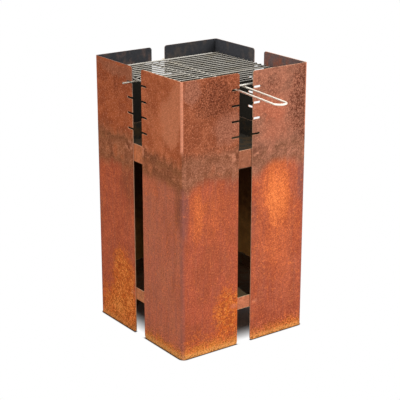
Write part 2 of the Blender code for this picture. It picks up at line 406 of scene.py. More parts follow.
def patches(across, height, marks):
    """Soft oval marks on a wing, each added to the others.

    A mark is its middle, across and up, its half sizes, across and up, and its strength.
    """
    spot = across.node("ShaderNodeCombineXYZ", {}, {0: across, 1: height})
    soft = {"interpolation_type": "SMOOTHSTEP"}
    total = 0.0
    for middle, level, half_width, half_height, strength in marks:
        shape = {0: spot, 1: (1 / half_width, 1 / half_height, 0.0)}
        shape[2] = (-middle / half_width, -level / half_height, 0.0)
        reach = spot.node("ShaderNodeVectorMath", {"operation": "MULTIPLY_ADD"}, shape)
        both = {0: reach, 1: reach}
        square = spot.node("ShaderNodeVectorMath", {"operation": "DOT_PRODUCT"}, both, 1)
        fade = {"Value": square, "From Min": 1.0, "From Max": 0.0, "To Max": strength}
        total = total + square.node("ShaderNodeMapRange", soft, fade)
    return total


def wing_finish(across, z, texture, wing):
    """Colour of one outer wing: rust below, heat band at the fire tray, toasted steel above."""
    cloud, drift, spots, grain, grit, streak, smudge = texture
    hazy, patchy, spotty, smeary = cloud - 0.5, drift - 0.5, spots - 0.5, smudge - 0.5
    fine = (grain - 0.5) * 0.9 + (grit - 0.5) * 0.9

    # How far the noise pushes the marks, across and up
    wander = hazy * 0.060 + patchy * 0.030
    climb = patchy * 0.050 + hazy * 0.040 + spotty * 0.020

    # Old rust in two shades, with brown smudges, mauve streaks, deep red pores and dark scale
    shade = rise(cloud + patchy * 0.5, 0.36, 0.64)
    rust = blend(shade, wing["rust"][0], wing["rust"][1])
    rust = blend(rise(smudge + spotty * 0.3, 0.50, 0.68) * 0.55, rust, RUST_BROWN)
    rust = blend(rise(streak, 0.46, 0.66) * wing["streak"], rust, MAUVE_SCALE)
    rust = blend(rise(fine + spotty * 0.3, 0.02, -0.20) * 0.50, rust, DEEP_RED)
    scale = patches(across + wander * 0.3, z + climb, wing["scale"])
    scaled = rise(scale + smeary * 0.8 + fine * 0.4, 0.05, 0.95)
    rust = blend(scaled * 0.8, rust, wing["tint"])

    # Bloom: orange where the heat has driven the rust, with brighter clumps
    bloom = patches(across + wander * 0.5 + smeary * 0.05, z + climb, wing["bloom"])
    rust = blend(rise(bloom + spotty * 0.4 + fine * 0.7, 0.0, 1.0) * 0.9, rust, ORANGE_BLOOM)
    lively = bloom + fine * 1.8 + spotty * 0.4 + smeary * 0.8
    rust = blend(rise(lively, 0.40, 1.50) * rise(bloom, 0.05, 0.60), rust, BRIGHT_BLOOM)

    # Fresh rust: yellow speckles and crust lines, with dark pits
    fresh = patches(across + wander, z + climb, wing["fresh"])
    rust = blend(rise(fresh + spotty * 1.4 + fine * 0.6, 0.05, 0.70) * 0.9, rust, FRESH_RUST)
    speckled = rise(fresh + fine * 2.4 + spotty * 2.4, 0.90, 1.50)
    rust = blend(speckled * rise(fresh, 0.04, 0.45) * 0.90, rust, YELLOW_RUST)
    crust = rise(abs(drift + spotty * 0.35 - 0.5), 0.060, 0.010) * rise(fresh, 0.10, 0.60)
    rust = blend(crust * rise(fine, -0.16, 0.10) * 0.85, rust, YELLOW_RUST)
    pits = rise(fine + spotty * 0.6, 0.00, -0.24) * rise(fresh, 0.1, 0.7)
    rust = blend(pits * 0.85, rust, FRESH_SHADE)

    # Foot: ochre where water stands and pale along the sill, with flecks and pits
    foot = rise(z + patchy * 0.050 + spotty * 0.045, *FOOT_RISE)
    rust = blend(foot * wing["foot"], rust, OCHRE_FOOT)
    sill = rise(z + spotty * 0.020 + fine * 0.004, *SILL_RISE)
    rust = blend(sill * wing["sill"], rust, PALE_OCHRE)
    near_foot = rise(z, *NEAR_FOOT)
    flecked = rise(fine + spotty * 0.5, 0.06, 0.26)
    rust = blend(flecked * (0.30 + near_foot * 0.4), rust, ORANGE_FLECK)
    pits = rise(fine + spotty * 0.5, -0.02, -0.20) * near_foot
    rust = blend(pits * 0.75, rust, FRESH_SHADE)
    rust = shaded(rust, 1 + patchy * 0.36 + smeary * 0.26 + hazy * 0.20)

    # Toasted steel above the band, paler and darker in places
    toast = blend(rise(drift + hazy * 0.9, 0.38, 0.62), wing["toast"][0], wing["toast"][1])
    pale = rise(patches(across + wander, z + climb, wing["pale"]), 0.1, 0.9)
    toast = blend(pale, toast, wing["toast"][2])
    charred = patches(across + wander, z + climb, wing["dark"])
    toast = blend(rise(charred + patchy * 0.6, 0.1, 0.9) * 0.35, toast, DARK_FLECK)
    burnt = rise(fine + spotty * 0.5, 0.06, -0.20) * (charred + wing["fleck"])
    toast = blend(burnt, toast, DARK_FLECK)
    toast = blend(rise(fine + spotty * 0.3, 0.05, 0.26) * 0.50, toast, PALE_FLECK)

    # Heat band between the two, scorched along its upper and its lower edge
    band = blend(rise(drift + smeary * 0.6, 0.38, 0.62), wing["band"][0], wing["band"][1])
    band = blend(rise(cloud + patchy * 0.8, 0.56, 0.72) * 0.55, band, wing["toast"][1])
    band = blend(rise(fine + spotty * 0.5, 0.04, -0.22) * 0.45, band, DARK_FLECK)
    band = blend(rise(fine + spotty * 0.3, 0.05, 0.26) * 0.45, band, PALE_FLECK)
    hang = patches(across + wander * 0.5, z, wing["hang"]) * 0.050
    level = z + climb * 0.6 + hang + fine * 0.010 + smeary * 0.030
    top = wing["top"]
    scorch = between(level, top - 0.024, top - 0.012, 0.010) + between(level, *FOOT_SCORCH)
    band = blend(scorch * wing["scorch"] * (0.3 + drift * 0.8), band, HEAT_OLIVE)
    upper = blend(rise(level, top - 0.016, top + 0.018), band, toast)
    upper = shaded(upper, 1 + patchy * 0.30 + smeary * 0.24)
    return blend(rise(level, *BAND_FOOT), rust, upper)


def weathered_steel(name, seed, front, side, indoors):
    """Rust of one corner sheet: its two outer wings, its inner side, its bend and its cut edges."""
    material, shader, place = new_material(name)
    x, y, z = axes(place)
    own = moved(place, seed * 1.7, seed * 0.9, seed * 0.4)
    wide, deep = abs(x), abs(y)
    facing_y = rise(deep - wide, *FACE_TURN)
    along_wing = lower_of(wide, deep)
    from_bend = BODY_HALF - along_wing
    from_gap = along_wing - GAP_HALF
    depth = inset(wide, deep)

    cloud = mottle(own, CLOUD_SIZE)
    drift = mottle(own, DRIFT_SIZE, 3.0, 0.55)
    spots = mottle(own, SPOT_SIZE, 3.0, 0.6)
    grain = mottle(own, GRAIN_SIZE, 2.0, 0.6)
    grit = mottle(own, GRIT_SIZE, 1.0)
    streak = mottle(stretched(own, 1.0, 1.0, 0.05), STREAK_SIZE, 3.0, 0.6)
    smudge = mottle(stretched(own, 1.0, 1.0, 0.22), SMUDGE_SIZE, 3.0, 0.6)
    texture = (cloud, drift, spots, grain, grit, streak, smudge)
    patchy, spotty = drift - 0.5, spots - 0.5
    side_wing = wing_finish(y, z, texture, side)
    outside = blend(facing_y, side_wing, wing_finish(x, z, texture, front))

    # Mauve scale along the bend below; above the band, rubbed steel with a painted highlight along
    # the bend
    bend = rise(from_bend + spotty * 0.006, *BEND_SCALE)
    below_band = rise(z + patchy * 0.06, *BEND_SCALE_TOP)
    outside = blend(bend * below_band * 0.45, outside, MAUVE_SCALE)
    # Rubbed steel and a painted highlight on the bend above the band
    ridge = rise(from_bend + spotty * 0.003, *BEND_RUB_HIGHLIGHT)
    rub_and_highlight = ridge * rise(z + patchy * 0.04, *BEND_RUB_HIGHLIGHT_FOOT)
    outside = blend(rub_and_highlight * (0.60 + 0.5 * grain), outside, RUBBED_BEND_HIGHLIGHT)

    # Faint burn marks where the trays are welded behind the sheet
    burn = patches(from_gap, z, WELD_BURNS)
    worn = drift + spotty * 0.6
    outside = blend(burn * rise(worn, 0.46, 0.58) * 0.50, outside, PALE_FLECK)
    outside = blend(burn * rise(worn, 0.50, 0.40) * 0.35, outside, DARK_FLECK)

    # Grain over all of it, rougher below the band and roughest at the foot
    rough = 1 + rise(z, *ROUGH_BELOW_BAND) * 0.40 + rise(z, *ROUGH_AT_FOOT) * 2.0
    grainy = (grain - 0.5) * 0.34 + (grit - 0.5) * 0.44 + spotty * 0.16
    outside = shaded(outside, 1 + grainy * rough)

    # Inner side: soot above the fire tray; below it, rust lightened low down as painted light and
    # darkened towards the fire tray as painted shade
    patina = mottle(stretched(own, 1.0, 1.0, 0.7), INNER_SIZE, 4.0, 0.6)
    soot = blend(rise(patina + patchy * 0.3, 0.47, 0.66), indoors[0], indoors[1])
    soot = blend(rise(z, *SOOT_LINE) * 0.95, soot, SOOT)
    chamber = blend(rise(z + patchy * 0.2, *CHAMBER_FADE), CHAMBER_RUST_AND_LIGHT, DARK_RUST_AND_SHADE)
    inside = blend(rise(z, FIRE_TRAY_FLOOR, FIRE_TRAY_FLOOR + 0.014), chamber, soot)
    # Painted shade: the inner wings that face along y are made darker than those that face along x
    inside = shaded(inside, (0.70 + 0.6 * grain) * (1.45 - 0.72 * facing_y))

    # Cut edges of the sheet: pale cut steel with a painted highlight, duller high up on the back
    # sheets
    colour = blend(rise(depth, *INNER_DEPTH), outside, inside)
    cut = between(depth, *CUT_DEPTH)
    edge = blend(rise(z, *EDGE_DULL), CUT_EDGE_HIGHLIGHT, indoors[2])
    colour = blend(cut * (0.60 + 0.6 * grain), colour, edge)

    relief = spots * 0.6 + grain * 0.5 + drift * 0.4
    feed(
        shader,
        Base_Color=colour,
        Roughness=0.94 - 0.25 * rub_and_highlight - 0.15 * spots,
        Normal=bumped(relief, 0.35, STEEL_RELIEF),
        Metallic=0.0,
        Specular_IOR_Level=0.12,
    )
    return material


def tray_steel(name, seed, floor_colour, walls, floor_height, rim_height, lit_by_gap=False):
    """Tray: rust on the outside of its wall, soot or ash inside.

    walls are its colours on the front and at the sides. With its last argument set, the tray has a
    painted pool of light on its floor behind the front gap, towards the right side.
    """
    material, shader, place = new_material(name)
    x, y, z = axes(place)
    own = moved(place, seed, seed * 0.6, seed * 0.3)
    wide, deep = abs(x), abs(y)
    reach = higher_of(wide, deep)
    drift = mottle(own, TRAY_DRIFT_SIZE, 4.0, 0.6)
    spots = mottle(own, TRAY_SPOT_SIZE, 3.0, 0.65)
    dust = mottle(own, GRIT_SIZE, 2.0, 0.6)

    # Outside of the wall
    wall = blend(rise(deep - wide, *FACE_TURN), walls[1], walls[0])
    rust = shaded(wall, 0.80 + rise(drift, 0.36, 0.62) * 0.25)
    rust = blend(rise(spots, 0.50, 0.40) * 0.30, rust, DARK_FLECK)
    rust = blend(rise(dust + spots * 0.5, 0.84, 0.98) * 0.5, rust, PALE_FLECK)
    rust = shaded(rust, 0.82 + 0.36 * dust)

    # Inside, with its ash
    inner = blend(rise(drift, 0.42, 0.62), floor_colour, TRAY_ASH)
    inner = blend(rise(dust, 0.58, 0.68) * 0.15, inner, ASH_OLIVE)
    inner = shaded(inner, 0.75 + 0.5 * spots)
    # Painted light: a pale pool on the floor where the front gap lets light in
    if lit_by_gap:
        light_pool = rise(x - y * LIGHT_POOL_SLANT, *LIGHT_POOL_RIGHT) * rise(x, *LIGHT_POOL_LEFT) * rise(y, *LIGHT_POOL_BACK)
        inner = blend(light_pool * rise(dust, 0.20, 0.45), inner, GAP_LIGHT_POOL)

    # Where one meets the other, and the cut rim
    on_wall = rise(reach, *TRAY_OUTSIDE)
    below = rise(z, floor_height + 0.0008, floor_height + 0.0002)
    colour = blend(higher_of(on_wall, below * 0.5), inner, rust)
    rim = rise(z, rim_height - 0.0008, rim_height - 0.0002)
    rim = rim * rise(reach, *TRAY_RIM_SIDE)
    # The cut rim: pale steel with a painted highlight
    colour = blend(rim * (0.5 + 0.5 * dust), colour, CUT_EDGE_HIGHLIGHT)

    relief = spots * 0.6 + dust * 0.5 + drift * 0.5
    feed(
        shader,
        Base_Color=colour,
        Roughness=0.95 - 0.15 * spots,
        Normal=bumped(relief, 0.4, STEEL_RELIEF),
        Metallic=0.0,
        Specular_IOR_Level=0.3,
    )
    return material


def chromed_wire(name, seed, plain, stain, polish, metal, sooted=0.0):
    """Chrome on steel wire with a breath of heat tint, and soot below the height of sooted.

    polish is the clean wire's roughness, stain how strong the tint and its flecks are.
    """
    material, shader, place = new_material(name)
    z = axes(place)[2]
    own = moved(place, seed, seed * 0.5, seed * 0.2)
    cloud = mottle(own, WIRE_CLOUD_SIZE, 3.0, 0.6)
    flecks = mottle(own, WIRE_FLECK_SIZE, 3.0, 0.6)
    tint = rise(cloud + (flecks - 0.5) * 0.3, 0.46, 0.72) * stain
    colour = blend(tint, plain, WIRE_TINT)
    colour = blend(rise(flecks, 0.60, 0.76) * stain * 0.6, colour, WIRE_STAIN)
    under = rise(z + (flecks - 0.5) * 0.0006, sooted + 0.0003, sooted - 0.0004)
    colour = blend(under, colour, SOOT)
    feed(
        shader,
        Base_Color=colour,
        Metallic=metal,
        Roughness=polish + 0.10 * flecks + 0.15 * tint,
        Normal=bumped(flecks, 0.06, WIRE_RELIEF),
    )
    return material


def weld_metal(name, seed):
    """Bare weld bead, browned by heat."""
    material, shader, place = new_material(name)
    own = moved(place, seed, 0.0, seed)
    flecks = mottle(own, WELD_FLECK_SIZE, 3.0, 0.6)
    colour = blend(rise(flecks, 0.42, 0.60), WELD_BURNT, WELD_BARE)
    feed(shader, Base_Color=colour, Metallic=0.6, Roughness=0.50 + 0.3 * flecks)
    return material


def new_piece(name, mesh, body, material):
    """Add a finished piece that rides on a body and takes its finish from a slot."""
    piece = bpy.data.objects.new(name, mesh)
    bpy.context.scene.collection.objects.link(piece)
    piece.data.materials.append(material)
    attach(piece, body)
    return piece


def soften(node, material, edge):
    """Give a CAD node its finish and slightly rounded edges."""
    node.data.shade_smooth()
    for place in node.material_slots:
        place.material = material
    weld = node.modifiers.new("joined facets", "WELD")
    weld.merge_threshold = JOIN_DISTANCE
    bevel = node.modifiers.new("broken edges", "BEVEL")
    bevel.width = edge
    bevel.segments = 2
    bevel.limit_method = "ANGLE"
    bevel.angle_limit = SHARP_ANGLE
    normals = node.modifiers.new("flat faces", "WEIGHTED_NORMAL")
    normals.mode = "FACE_AREA"
    normals.weight = 100


def plan_arc(centre, radius, start, end, steps):
    """Points on an arc in plan, both ends included, angles in radians."""
    points = []
    for step in range(steps + 1):
        angle = start + (end - start) * step / steps
        points.append((centre[0] + radius * math.cos(angle), centre[1] + radius * math.sin(angle)))
    return points


def askew(across, along):
    """Plan point beside the handle's axis, which lies a little off square to the body."""
    x = across * math.cos(LEG_ANGLE) + along * math.sin(LEG_ANGLE)
    y = along * math.cos(LEG_ANGLE) - across * math.sin(LEG_ANGLE)
    return x, y + BODY_CENTRE_Y


def rounded(points, radius):
    """Path with each inner corner turned into a curve of about this reach."""
    path = [Vector(points[0])]
    for before, corner, after in zip(points, points[1:], points[2:]):
        before, corner, after = Vector(before), Vector(corner), Vector(after)
        room = [(other - corner).length * CURVE_SHARE for other in (before, after)]
        reach = min(radius, *room)
        start = corner + (before - corner).normalized() * reach
        end = corner + (after - corner).normalized() * reach
        for step in range(CURVE_STEPS + 1):
            share = step / CURVE_STEPS
            first = start.lerp(corner, share)
            path.append(first.lerp(corner.lerp(end, share), share))
    path.append(Vector(points[-1]))
    return path


def wire_rings(path, radius, closed):
    """Where a level wire's rings lie: the middle, the wire's way, the side and the size of each."""
    count = len(path)
    rings = []
    side = None
    for index in range(count):
        before = path[index - 1] if closed or index > 0 else path[index]
        after = path[(index + 1) % count] if closed or index < count - 1 else path[index]
        way = (after - before).normalized()
        if side is None:
            side = way.cross(Vector((0.0, 0.0, 1.0))).normalized()
        side = (side - way * side.dot(way)).normalized()
        rings.append((path[index], way, side, radius))
    return rings


def end_rings(ring, inward):
    """Rings that round off a wire's end, from the small one at its face to the full size."""
    middle, way, side, radius = ring
    rounding = radius * WIRE_END_SHARE
    rings = []
    for step in range(WIRE_END_STEPS):
        angle = math.pi / 2 * step / WIRE_END_STEPS
        smaller = radius - rounding + rounding * math.sin(angle)
        back = rounding * (1 - math.cos(angle))
        rings.append((middle + way * back * inward, way, side, smaller))
    rings.append((middle + way * rounding * inward, way, side, radius))
    return rings


def swept_wire(name, path, radius, closed=False, sides=WIRE_SIDES):
    """Mesh of a round wire along a path; open ends are cut with a small rounded edge."""
    rings = wire_rings([Vector(point) for point in path], radius, closed)
    if not closed:
        rings = end_rings(rings[0], 1) + rings[1:-1] + end_rings(rings[-1], -1)[::-1]
    shape = bmesh.new()
    circles = []
    for middle, way, side, size in rings:
        up = way.cross(side)
        circle = []
        for step in range(sides):
            angle = 2 * math.pi * step / sides
            offset = side * math.cos(angle) + up * math.sin(angle)
            circle.append(shape.verts.new(middle + offset * size))
        circles.append(circle)
    pairs = list(zip(circles, circles[1:]))
    if closed:
        pairs.append((circles[-1], circles[0]))
    for one, other in pairs:
        for step in range(sides):
            following = (step + 1) % sides
            shape.faces.new((one[step], one[following], other[following], other[step]))
    if not closed:
        shape.faces.new(circles[0][::-1])
        shape.faces.new(circles[-1])
    bmesh.ops.recalc_face_normals(shape, faces=shape.faces)
    mesh = bpy.data.meshes.new(name)
    shape.to_mesh(mesh)
    shape.free()
    mesh.shade_smooth()
    mesh.set_sharp_from_angle(angle=WIRE_SHARP_ANGLE)
    return mesh


def handle_path():
    """Lifting handle from its short left leg's end, round the loop, to its long right leg's end."""
    leave = -(FRAME_HALF - LEG_OFFSET * math.sin(LEG_ANGLE)) / math.cos(LEG_ANGLE)
    back = (LEG_BACK_END + LEG_OFFSET * math.sin(LEG_ANGLE)) / math.cos(LEG_ANGLE)
    low = SUPPORT_Z - HANDLE_DROP
    left_leave = askew(-LEG_OFFSET, leave)
    left_leg = [
        (left_leave[0], BODY_CENTRE_Y + SHORT_LEG_END, SUPPORT_Z),
        (*left_leave, SUPPORT_Z),
        (*askew(-LEG_OFFSET, DROP_START), SUPPORT_Z),
        (*askew(-LEG_OFFSET, LOOP_MIDDLE + HANDLE_LEAD), low),
    ]
    loop = plan_arc((0.0, LOOP_MIDDLE), LEG_OFFSET, -math.pi, 0.0, HANDLE_LOOP_STEPS)
    right_leg = [
        (*askew(LEG_OFFSET, LOOP_MIDDLE + HANDLE_LEAD), low),
        (*askew(LEG_OFFSET, DROP_START), SUPPORT_Z),
        (*askew(LEG_OFFSET, back), SUPPORT_Z),
    ]
    path = rounded(left_leg, HANDLE_CURVE)[:-1]
    path += [Vector((*askew(across, along), low)) for across, along in loop]
    return path + rounded(right_leg, HANDLE_CURVE)[1:]


def frame_path():
    """Square of the frame wire with its round corners."""
    side = FRAME_HALF - FRAME_CORNER
    points = []
    for turn, (sign_x, sign_y) in enumerate(((1, 1), (-1, 1), (-1, -1), (1, -1))):
        start = turn * math.pi / 2
        centre = (side * sign_x, side * sign_y + BODY_CENTRE_Y)
        points += plan_arc(centre, FRAME_CORNER, start, start + math.pi / 2, FRAME_CORNER_STEPS)
    return [(x, y, FRAME_Z) for x, y in points]


def straight(start, end, pieces):
    """Straight path cut into equal steps."""
    start, end = Vector(start), Vector(end)
    return [start.lerp(end, step / pieces) for step in range(pieces + 1)]


def beads_mesh(name, beads, seed):
    """Mesh of several lumpy weld beads, each given by its middle, half sizes and turn."""
    chance = random.Random(seed)
    points = []
    faces = []
    for middle, half_sizes, turn in beads:
        first = len(points)
        place = Matrix.Translation(middle) @ Matrix.Rotation(turn, 4, "Z")
        spots = [(0.0, 0.0, 1.0), (0.0, 0.0, -1.0)]
        for ring in range(1, BEAD_RINGS):
            slope = math.pi * ring / BEAD_RINGS
            for step in range(BEAD_AROUND):
                angle = 2 * math.pi * step / BEAD_AROUND
                level = math.sin(slope)
                spots.append((level * math.cos(angle), level * math.sin(angle), math.cos(slope)))
        for spot in spots:
            lump = 1.0 + chance.uniform(-BEAD_LUMP, BEAD_LUMP)
            lumpy = [part * half * lump for part, half in zip(spot, half_sizes)]
            points.append(place @ Vector(lumpy))
        last = first + 2 + (BEAD_RINGS - 2) * BEAD_AROUND
        for step in range(BEAD_AROUND):
            following = (step + 1) % BEAD_AROUND
            faces.append((first, first + 2 + step, first + 2 + following))
            faces.append((first + 1, last + following, last + step))
            for ring in range(BEAD_RINGS - 2):
                upper = first + 2 + ring * BEAD_AROUND
                lower = upper + BEAD_AROUND
                faces.append((upper + step, lower + step, lower + following, upper + following))
    mesh = bpy.data.meshes.new(name)
    mesh.from_pydata(points, [], faces)
    mesh.shade_smooth()
    return mesh


RUSTS = {
    "brick": (tone(172, 86, 56), tone(178, 88, 60)),
    "clay": (tone(176, 86, 56), tone(182, 94, 64)),
    "ember": (RUST_RED, tone(186, 92, 58)),
    "orange": (RUST_RED, tone(190, 96, 60)),
    "salmon": (RUST_RED, tone(190, 106, 76)),
    "sand": (tone(194, 112, 80), tone(188, 104, 75)),
}
TOASTED = {
    "brown": (tone(149, 78, 48), tone(166, 92, 60), tone(160, 98, 74)),
    "red": (tone(160, 78, 42), tone(174, 88, 48), tone(160, 92, 62)),
    "orange": (tone(172, 88, 50), tone(190, 104, 64), tone(200, 118, 80)),
    "rose": (tone(152, 98, 76), tone(168, 106, 82), tone(184, 104, 76)),
}
BANDS = {
    "taupe": (tone(140, 84, 58), tone(158, 100, 74)),
    "olive": (tone(150, 86, 54), tone(170, 102, 66)),
    "grey": (tone(146, 94, 70), tone(168, 108, 84)),
}

# What most wings have: how strong their streaks, foot and sill are, their scale, their band's top
USUAL_WING = dict(streak=0.20, foot=0.7, sill=0.80, tint=PURPLE_SCALE, top=0.540)

# Each wing: its colours, what isn't usual, and its soft marks. A mark is its middle, across and up,
# its half width, its half height and its strength.
WINGS = {
    "front_left_front": dict(
        rust=RUSTS["brick"],
        foot=1.0,
        sill=0.95,
        top=0.545,
        bloom=[
            (-0.156, 0.385, 0.026, 0.115, 0.36),
            (-0.130, 0.385, 0.065, 0.110, 0.26),
            (-0.065, 0.350, 0.080, 0.120, 0.17),
        ],
        scale=[(-0.194, 0.410, 0.024, 0.110, 0.80), (-0.038, 0.450, 0.050, 0.050, 0.35)],
        fresh=[(-0.045, 0.100, 0.070, 0.110, 0.50), (-0.150, 0.030, 0.100, 0.050, 0.25)],
        toast=TOASTED["brown"],
        pale=[(-0.170, 0.715, 0.040, 0.050, 1.0), (-0.060, 0.600, 0.070, 0.060, 0.8)],
        dark=[(-0.090, 0.680, 0.085, 0.065, 0.95), (-0.100, 0.530, 0.100, 0.040, 0.30)],
        fleck=0.45,
        band=BANDS["taupe"],
        scorch=0.30,
        hang=[(-0.190, 0.46, 0.030, 0.12, 0.12), (-0.115, 0.46, 0.060, 0.08, -0.24)],
    ),
    "front_left_side": dict(
        rust=RUSTS["sand"],
        streak=0.35,
        foot=0.75,
        sill=1.00,
        tint=SCORCHED_RUST,
        top=0.530,
        bloom=[(-0.050, 0.440, 0.060, 0.050, 0.30)],
        scale=[(-0.194, 0.420, 0.036, 0.090, 0.75), (-0.060, 0.445, 0.060, 0.030, 0.15)],
        fresh=[(-0.100, 0.000, 0.160, 0.050, 0.30)],
        toast=TOASTED["orange"],
        pale=[(-0.150, 0.620, 0.070, 0.080, 1.0), (-0.190, 0.700, 0.040, 0.060, 0.8)],
        dark=[(-0.050, 0.660, 0.050, 0.060, 0.25)],
        fleck=0.15,
        band=BANDS["olive"],
        scorch=0.75,
        hang=[(-0.190, 0.46, 0.040, 0.12, 0.15)],
    ),
    "front_right_front": dict(
        rust=RUSTS["clay"],
        foot=0.5,
        top=0.522,
        bloom=[
            (0.112, 0.300, 0.090, 0.190, 0.44),
            (0.108, 0.443, 0.058, 0.165, 0.58),
            (0.058, 0.443, 0.046, 0.100, 0.24),
        ],
        scale=[(0.192, 0.430, 0.022, 0.110, 0.90), (0.028, 0.340, 0.014, 0.120, 0.40)],
        fresh=[(0.150, 0.010, 0.080, 0.040, 0.35)],
        toast=TOASTED["rose"],
        pale=[(0.075, 0.640, 0.090, 0.050, 0.6), (0.100, 0.590, 0.080, 0.060, 0.5)],
        dark=[(0.195, 0.640, 0.062, 0.160, 1.0), (0.080, 0.700, 0.060, 0.040, 0.45)],
        fleck=0.22,
        band=BANDS["grey"],
        scorch=0.20,
        hang=[(0.125, 0.46, 0.090, 0.14, -0.52)],
    ),
    "front_right_side": dict(
        rust=RUSTS["orange"],
        streak=0.25,
        bloom=[(-0.110, 0.370, 0.060, 0.120, 0.70)],
        scale=[(-0.190, 0.360, 0.030, 0.110, 0.60)],
        fresh=[(-0.060, 0.080, 0.070, 0.080, 0.50)],
        toast=TOASTED["brown"],
        pale=[(-0.120, 0.640, 0.060, 0.070, 0.8)],
        dark=[(-0.060, 0.690, 0.060, 0.060, 0.40)],
        fleck=0.30,
        band=BANDS["taupe"],
        scorch=0.40,
        hang=[(-0.150, 0.46, 0.070, 0.12, 0.35)],
    ),
    "back_right_front": dict(
        rust=RUSTS["orange"],
        bloom=[(0.120, 0.390, 0.060, 0.120, 0.80), (0.070, 0.330, 0.050, 0.100, 0.45)],
        scale=[(0.190, 0.340, 0.026, 0.120, 0.70)],
        fresh=[(0.060, 0.090, 0.070, 0.090, 0.60)],
        toast=TOASTED["red"],
        pale=[(0.150, 0.620, 0.060, 0.060, 0.8)],
        dark=[(0.080, 0.690, 0.080, 0.050, 0.45)],
        fleck=0.35,
        band=BANDS["taupe"],
        scorch=0.35,
        hang=[(0.160, 0.46, 0.070, 0.12, 0.40)],
    ),
    "back_right_side": dict(
        rust=RUSTS["salmon"],
        streak=0.30,
        top=0.535,
        bloom=[(0.130, 0.400, 0.050, 0.110, 0.70)],
        scale=[(0.190, 0.380, 0.026, 0.100, 0.70)],
        fresh=[(0.060, 0.060, 0.080, 0.070, 0.60)],
        toast=TOASTED["rose"],
        pale=[(0.080, 0.640, 0.070, 0.080, 0.8)],
        dark=[(0.160, 0.680, 0.060, 0.060, 0.40)],
        fleck=0.25,
        band=BANDS["grey"],
        scorch=0.35,
        hang=[(0.060, 0.46, 0.070, 0.12, 0.40)],
    ),
    "back_left_front": dict(
        rust=RUSTS["orange"],
        bloom=[(-0.120, 0.360, 0.060, 0.120, 0.75)],
        scale=[(-0.190, 0.330, 0.028, 0.120, 0.70)],
        fresh=[(-0.060, 0.110, 0.060, 0.090, 0.60)],
        toast=TOASTED["brown"],
        pale=[(-0.080, 0.640, 0.070, 0.070, 0.8)],
        dark=[(-0.150, 0.700, 0.070, 0.050, 0.45)],
        fleck=0.35,
        band=BANDS["olive"],
        scorch=0.40,
        hang=[(-0.060, 0.46, 0.070, 0.12, 0.40)],
    ),
    "back_left_side": dict(
        rust=RUSTS["ember"],
        foot=0.35,
        sill=0.40,
        tint=SCORCHED_RUST,
        top=0.553,
        bloom=[(0.170, 0.440, 0.080, 0.050, 0.20)],
        scale=[(0.194, 0.250, 0.022, 0.200, 0.35), (0.045, 0.425, 0.060, 0.080, 0.65)],
        fresh=[
            (0.080, 0.120, 0.080, 0.140, 0.70),
            (0.150, 0.040, 0.090, 0.080, 0.50),
            (0.070, 0.030, 0.110, 0.080, 0.50),
        ],
        toast=TOASTED["red"],
        pale=[(0.040, 0.720, 0.200, 0.030, 0.9)],
        dark=[(0.110, 0.680, 0.080, 0.050, 0.30)],
        fleck=0.15,
        band=BANDS["olive"],
        scorch=0.75,
        hang=[(0.160, 0.46, 0.060, 0.12, 0.20)],
    ),
}

# Each sheet's inner side above the grate: its soot and what shows through it
INDOORS = {
    "front_left": (SOOT_BLUE, SOOT_BROWN, CUT_EDGE_HIGHLIGHT),
    "front_right": (tone(114, 94, 90), tone(150, 92, 72), CUT_EDGE_HIGHLIGHT),
    "back_right": (SOOT_BLUE, tone(94, 86, 82), DULL_EDGE),
    "back_left": (SOOT_BLUE, SOOT_BROWN, DULL_EDGE),
}


def dress_sheets():
    """Give the four corner sheets their rust, each wing with its own marks."""
    for seed, (place, indoors) in enumerate(INDOORS.items(), 1):
        front = {**USUAL_WING, **WINGS[place + "_front"]}
        side = {**USUAL_WING, **WINGS[place + "_side"]}
        material = weathered_steel("rust_" + place, seed, front, side, indoors)
        soften(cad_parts["corner_sheet_" + place], material, SHEET_EDGE)


def dress_trays():
    """Give the two trays their finish and add the stitch welds that hold them."""
    fire = tray_steel("fired_tray", 6.0, SOOT, TRAY_RUST, FIRE_TRAY_FLOOR, FIRE_TRAY_RIM)
    # The base tray's floor is dark rust, darkened further as painted shade
    base = tray_steel(
        "ash_tray", 7.0, DARK_RUST_AND_SHADE, ASH_TRAY_RUST, BASE_TRAY_FLOOR, BASE_TRAY_RIM, lit_by_gap=True
    )
    soften(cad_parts["fire_tray"], fire, TRAY_EDGE)
    soften(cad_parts["base_tray"], base, TRAY_EDGE)
    weld = weld_metal("tray_weld", 14.0)
    chance = random.Random(STITCH_SEED)
    for name, rim in (("fire", FIRE_TRAY_RIM), ("base", BASE_TRAY_RIM)):
        beads = []
        for side in range(4):
            for along in STITCH_PLACES:
                beads += stitch(side, along, rim, chance)
        mesh = beads_mesh(name, beads, STITCH_LUMP_SEED)
        new_piece("stitch_welds_" + name, mesh, "shell", weld)


def stitch(side, along, rim, chance):
    """Beads of one stitch weld between a tray's rim and the sheet behind it."""
    beads = []
    for step in range(STITCH_BEADS):
        spot = along + (step - STITCH_BEADS // 2) * STITCH_STEP
        inward = INNER_HALF - STITCH_INSET + chance.uniform(-STITCH_WANDER, STITCH_WANDER)
        x, y = ((spot, inward), (inward, spot), (spot, -inward), (-inward, spot))[side]
        middle = (x, y + BODY_CENTRE_Y, rim + STITCH_LIFT)
        beads.append((middle, STITCH_BEAD, chance.uniform(-STITCH_TURN, STITCH_TURN)))
    return beads


